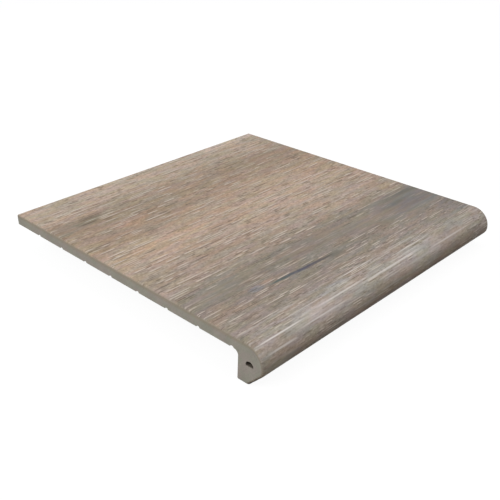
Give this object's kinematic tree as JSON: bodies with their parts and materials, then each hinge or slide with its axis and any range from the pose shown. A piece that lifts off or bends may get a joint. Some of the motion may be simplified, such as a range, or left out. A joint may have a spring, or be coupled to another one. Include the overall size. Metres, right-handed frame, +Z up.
{
  "type": "stair tread tile",
  "caption": "Ceramic stair tread tile: a flat plate with a rounded front nose that hangs below it, a wood-grain glaze on top and grooves across the bedding side.",
  "frame": {"origin": "middle of the tile's outline in plan, level with the bottom of the nose", "axes": "+X along the nose, +Y from the nose to the back edge, +Z up out of the tread face"},
  "size_m": [0.33, 0.337, 0.0385],
  "materials": {
    "glazed_ceramic": "satin glaze printed as weathered oak on the tread face and nose, bare taupe-grey fired body on the ends, back and bedding side"
  },
  "bodies": {
    "root": {"tread_tile": "glazed_ceramic"}
  },
  "joints": []
}
